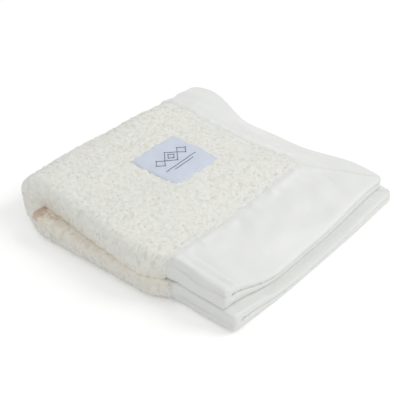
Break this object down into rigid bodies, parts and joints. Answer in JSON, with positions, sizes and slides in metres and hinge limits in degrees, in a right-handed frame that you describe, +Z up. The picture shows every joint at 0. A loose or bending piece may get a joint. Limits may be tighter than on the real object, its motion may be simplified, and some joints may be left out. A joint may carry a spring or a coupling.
{
  "type": "comfort blanket",
  "caption": "Square comfort blanket of deep sherpa pile with a wide satin binding mitred at its corners and a woven label, folded in four with rolled front and side folds.",
  "frame": {"origin": "centre of the folded blanket's bounding box, on the plane it rests on", "axes": "+Z up from the surface it rests on, -Y out of the rolled front fold, -X out of the second fold, +X towards the open satin hems"},
  "size_m": [0.1968, 0.1914, 0.0379],
  "materials": {
    "sherpa_fleece": "curly off-white sherpa pile, matt",
    "satin_binding": "white satin ribbon, soft sheen along the weave",
    "woven_label": "fine woven pale blue label, semi-matt"
  },
  "bodies": {
    "lower_half": {"sherpa_lower": "sherpa_fleece", "end_binding_lower": "satin_binding", "side_binding_outer_lower": "satin_binding", "side_binding_inner_lower": "satin_binding"},
    "fold_spine": {"sherpa_fold": "sherpa_fleece", "side_binding_outer_fold": "satin_binding", "side_binding_inner_fold": "satin_binding"},
    "upper_half": {"sherpa_upper": "sherpa_fleece", "end_binding_upper": "satin_binding", "side_binding_outer_upper": "satin_binding", "side_binding_inner_upper": "satin_binding", "woven_label": "woven_label"}
  },
  "joints": [
    {"name": "lower_fold", "type": "hinge", "parent": "lower_half", "child": "fold_spine", "pos_m": [-0.08263, 0, 0.014], "axis": [0, -1, 0], "range_deg": [0, 90]},
    {"name": "upper_fold", "type": "hinge", "parent": "fold_spine", "child": "upper_half", "pos_m": [-0.08263, 0, 0.0228], "axis": [0, -1, 0], "range_deg": [0, 90]}
  ],
  "couplings": [
    {"joint": "upper_fold", "follows": "lower_fold", "ratio": 1}
  ]
}
